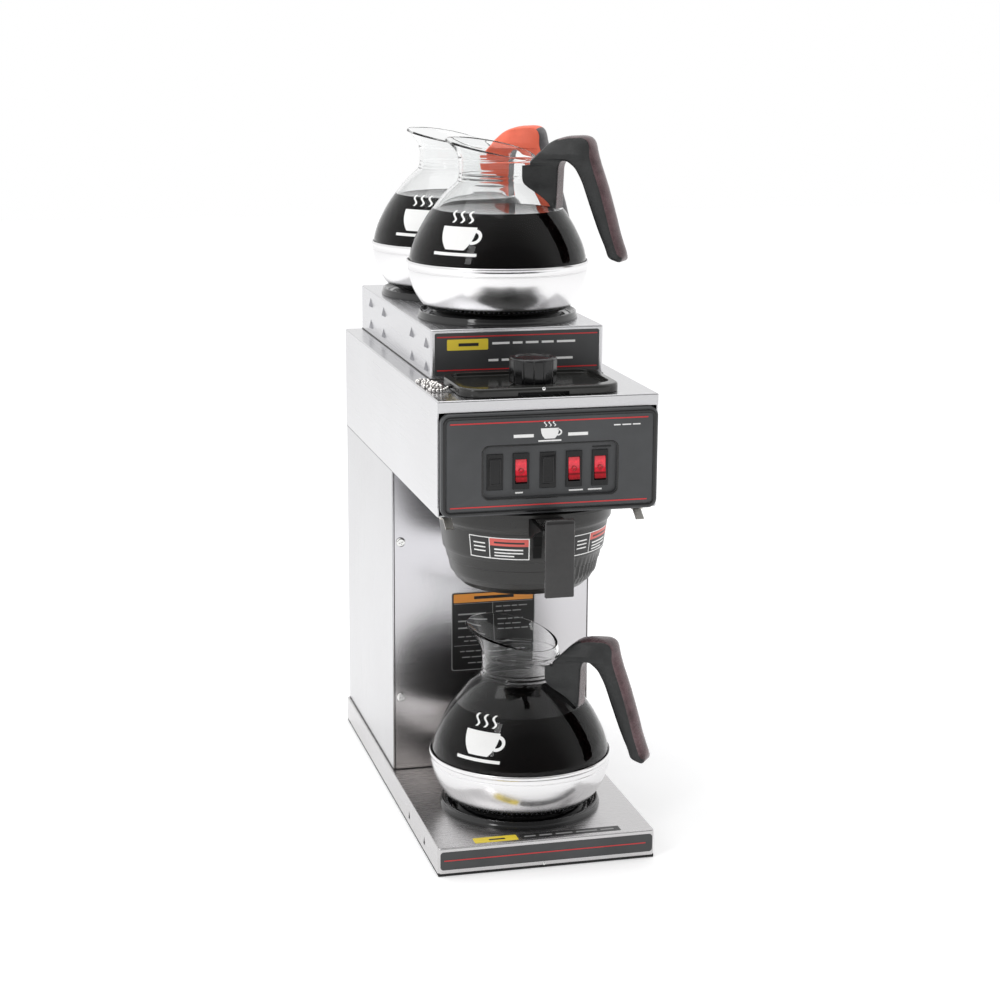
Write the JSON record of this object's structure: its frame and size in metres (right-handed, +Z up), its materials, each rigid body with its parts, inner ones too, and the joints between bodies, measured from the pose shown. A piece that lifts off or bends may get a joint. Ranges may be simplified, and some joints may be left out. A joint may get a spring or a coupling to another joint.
{
  "type": "commercial coffee brewer",
  "caption": "Pour-over commercial coffee brewer with a stainless body, brew funnel, rocker switches, warmers and glass decanters.",
  "frame": {"origin": "centre of the bounding box on the surface the feet stand on", "axes": "+Z up, +X to the right of a person facing the switches, front of the machine towards -Y"},
  "size_m": [0.2108, 0.4878, 0.6479],
  "materials": {
    "brushed_stainless": "brushed along the sheet, satin",
    "galvanised_sheet": "dull galvanised sheet",
    "foot_rubber": "matt",
    "zinc_screw": "zinc plated",
    "screw_steel": "polished",
    "black_decal": "satin printed film",
    "black_nylon": "matt moulded",
    "rail_steel": "satin",
    "panel_black": "fine satin moulding",
    "switch_black": "semi gloss",
    "rocker_red": "translucent gloss",
    "warmer_enamel": "glossy black enamel on steel",
    "element_aluminium": "cast",
    "basin_plastic": "moulded",
    "lid_black": "gloss moulded",
    "knob_black": "satin moulded",
    "bead_chain": "nickel plated beads",
    "tank_steel": "mill finish",
    "gasket_rubber": "silicone",
    "heater_sheath": "alloy sheath",
    "silicone_tube": "translucent silicone",
    "sprayhead_steel": "polished stainless",
    "brass_nut": "machined",
    "control_body": "phenolic",
    "copper_capillary": "copper",
    "terminal_ceramic": "unglazed",
    "funnel_plastic": "heat resistant moulding with a light sheen",
    "decanter_glass": "clear polished",
    "bowl_stainless": "polished stainless",
    "coffee_liquid": "very dark liquid",
    "handle_black": "fine textured moulding",
    "handle_orange": "fine textured moulding"
  },
  "bodies": {
    "chassis": {"base_shell": "brushed_stainless", "base_bottom_plate": "galvanised_sheet", "rubber_feet": "foot_rubber", "foot_screws": "zinc_screw", "base_front_decal": "black_decal", "trunk_cover": "brushed_stainless", "splash_panel": "brushed_stainless", "splash_panel_screws": "screw_steel", "cord_gland": "black_nylon", "hood_shell": "brushed_stainless", "hood_bottom_plate": "galvanised_sheet", "funnel_rail_left": "rail_steel", "funnel_rail_right": "rail_steel", "front_panel": "panel_black", "switch_blank_plugs": "switch_black", "warmer_box_shell": "brushed_stainless", "warmer_box_label_plate": "black_decal", "warmer_rings": "warmer_enamel", "warmer_elements": "element_aluminium", "basin": "basin_plastic", "lid_chain": "bead_chain", "tank": "tank_steel", "tank_gasket": "gasket_rubber", "tank_lid": "tank_steel", "tank_heater": "heater_sheath", "inlet_tube": "silicone_tube", "spray_tube": "silicone_tube", "sprayhead": "sprayhead_steel", "sprayhead_nut": "brass_nut", "thermostat": "control_body", "thermostat_bulb": "copper_capillary", "limit_thermostat": "control_body", "terminal_block": "terminal_ceramic", "switch_housing_lower": "switch_black", "warmer_plate_lower": "warmer_enamel", "switch_housing_front": "switch_black", "warmer_plate_front": "warmer_enamel", "switch_housing_rear": "switch_black", "warmer_plate_rear": "warmer_enamel"},
    "funnel": {"funnel_body": "funnel_plastic", "funnel_handle": "funnel_plastic"},
    "lid": {"pour_lid": "lid_black", "lid_knob": "knob_black", "lid_knob_screw": "screw_steel"},
    "decanter_lower": {"decanter_lower_glass": "decanter_glass", "decanter_lower_bowl": "bowl_stainless", "decanter_lower_coffee": "coffee_liquid", "decanter_lower_handle": "handle_black"},
    "rocker_lower": {"rocker_lower": "rocker_red"},
    "decanter_front": {"decanter_front_glass": "decanter_glass", "decanter_front_bowl": "bowl_stainless", "decanter_front_coffee": "coffee_liquid", "decanter_front_handle": "handle_black"},
    "rocker_front": {"rocker_front": "rocker_red"},
    "decanter_rear": {"decanter_rear_glass": "decanter_glass", "decanter_rear_bowl": "bowl_stainless", "decanter_rear_coffee": "coffee_liquid", "decanter_rear_handle": "handle_orange"},
    "rocker_rear": {"rocker_rear": "rocker_red"}
  },
  "joints": [
    {"name": "funnel_slide", "type": "slide", "parent": "chassis", "child": "funnel", "axis": [0, -1, 0], "range_m": [0, 0.2]},
    {"name": "lid_lift", "type": "slide", "parent": "chassis", "child": "lid", "axis": [0, 0, 1], "range_m": [0, 0.05]},
    {"name": "decanter_lower_slide", "type": "slide", "parent": "chassis", "child": "decanter_lower", "axis": [0, -1, 0], "range_m": [0, 0.3]},
    {"name": "rocker_lower_tilt", "type": "hinge", "parent": "chassis", "child": "rocker_lower", "pos_m": [-0.02972, -0.2041, 0.3675], "axis": [1, 0, 0], "range_deg": [0, 16]},
    {"name": "decanter_front_lift", "type": "slide", "parent": "chassis", "child": "decanter_front", "axis": [0, 0, 1], "range_m": [0, 0.2]},
    {"name": "rocker_front_tilt", "type": "hinge", "parent": "chassis", "child": "rocker_front", "pos_m": [0.01818, -0.2041, 0.3675], "axis": [1, 0, 0], "range_deg": [0, 16]},
    {"name": "decanter_rear_lift", "type": "slide", "parent": "chassis", "child": "decanter_rear", "axis": [0, 0, 1], "range_m": [0, 0.2]},
    {"name": "rocker_rear_tilt", "type": "hinge", "parent": "chassis", "child": "rocker_rear", "pos_m": [0.04188, -0.2041, 0.3675], "axis": [1, 0, 0], "range_deg": [0, 16]}
  ]
}
